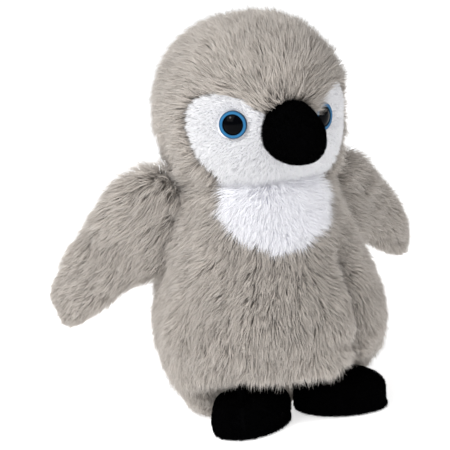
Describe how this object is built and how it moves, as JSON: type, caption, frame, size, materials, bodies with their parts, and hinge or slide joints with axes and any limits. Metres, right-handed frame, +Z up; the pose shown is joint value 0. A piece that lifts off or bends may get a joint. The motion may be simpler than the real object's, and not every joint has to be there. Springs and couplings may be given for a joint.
{
  "type": "plush penguin",
  "caption": "Stuffed plush penguin chick that stands on a flat base, with a turning and nodding head, sewn flippers that swing and velour feet.",
  "frame": {"origin": "middle of the toy's footprint box, on the surface that it stands on", "axes": "+Z up, the belly and beak face -Y, the penguin's left side is at +X"},
  "size_m": [0.1732, 0.1091, 0.1735],
  "materials": {
    "grey_plush": "long pile",
    "white_plush": "pile",
    "black_velour": "short velour pile",
    "fibre_filling": "loose fibre",
    "pouch_cloth": "plain woven",
    "pellets": "matte granules",
    "eye_blue": "satin",
    "eye_black": "gloss",
    "washer_plastic": "matte"
  },
  "bodies": {
    "torso": {"base_panel": "grey_plush", "belly_panel": "grey_plush", "side_panel_left": "grey_plush", "side_panel_right": "grey_plush", "chest_patch": "white_plush", "torso_filling": "fibre_filling", "pouch_top": "pouch_cloth", "pouch_bottom": "pouch_cloth", "pellets": "pellets"},
    "neck": {"neck_filling": "fibre_filling"},
    "head": {"head_gusset": "grey_plush", "head_side_left": "grey_plush", "head_side_right": "grey_plush", "face_patch_left": "white_plush", "face_patch_right": "white_plush", "head_filling": "fibre_filling", "beak_upper": "black_velour", "beak_lower": "black_velour", "beak_filling": "fibre_filling", "eye_base_left": "eye_blue", "eye_base_right": "eye_blue", "eye_pupil_left": "eye_black", "eye_pupil_right": "eye_black", "eye_washer_left": "washer_plastic", "eye_washer_right": "washer_plastic"},
    "flipper_left": {"flipper_front_left": "grey_plush", "flipper_back_left": "grey_plush", "flipper_filling_left": "fibre_filling"},
    "foot_left": {"foot_upper_left": "black_velour", "foot_sole_left": "black_velour", "foot_filling_left": "fibre_filling"},
    "flipper_right": {"flipper_front_right": "grey_plush", "flipper_back_right": "grey_plush", "flipper_filling_right": "fibre_filling"},
    "foot_right": {"foot_upper_right": "black_velour", "foot_sole_right": "black_velour", "foot_filling_right": "fibre_filling"}
  },
  "joints": [
    {"name": "head_turn", "type": "hinge", "parent": "torso", "child": "neck", "pos_m": [0.00187, 0.00602, 0.1075], "axis": [0, 0, 1], "range_deg": [-25, 25], "stiffness_Nm_per_rad": 0.12},
    {"name": "head_nod", "type": "hinge", "parent": "neck", "child": "head", "pos_m": [0.00187, 0.00602, 0.1075], "axis": [0.9954, 0.0958, 0], "range_deg": [-8, 8], "stiffness_Nm_per_rad": 0.25},
    {"name": "flipper_left_swing", "type": "hinge", "parent": "torso", "child": "flipper_left", "pos_m": [0.04182, 0.01279, 0.08275], "axis": [0.3089, 0.2244, -0.9242], "range_deg": [-20, 60], "stiffness_Nm_per_rad": 0.06},
    {"name": "flipper_right_swing", "type": "hinge", "parent": "torso", "child": "flipper_right", "pos_m": [-0.03829, 0.0114, 0.0845], "axis": [0.2957, -0.1995, 0.9342], "range_deg": [-20, 60], "stiffness_Nm_per_rad": 0.06},
    {"name": "foot_left_flex", "type": "hinge", "parent": "torso", "child": "foot_left", "pos_m": [0.00771, -0.00482, 0], "axis": [-0.6018, -0.7986, 0], "range_deg": [0, 9], "stiffness_Nm_per_rad": 0.08},
    {"name": "foot_right_flex", "type": "hinge", "parent": "torso", "child": "foot_right", "pos_m": [-0.00281, -0.00537, 0], "axis": [-0.682, 0.7314, 0], "range_deg": [0, 9], "stiffness_Nm_per_rad": 0.08}
  ]
}
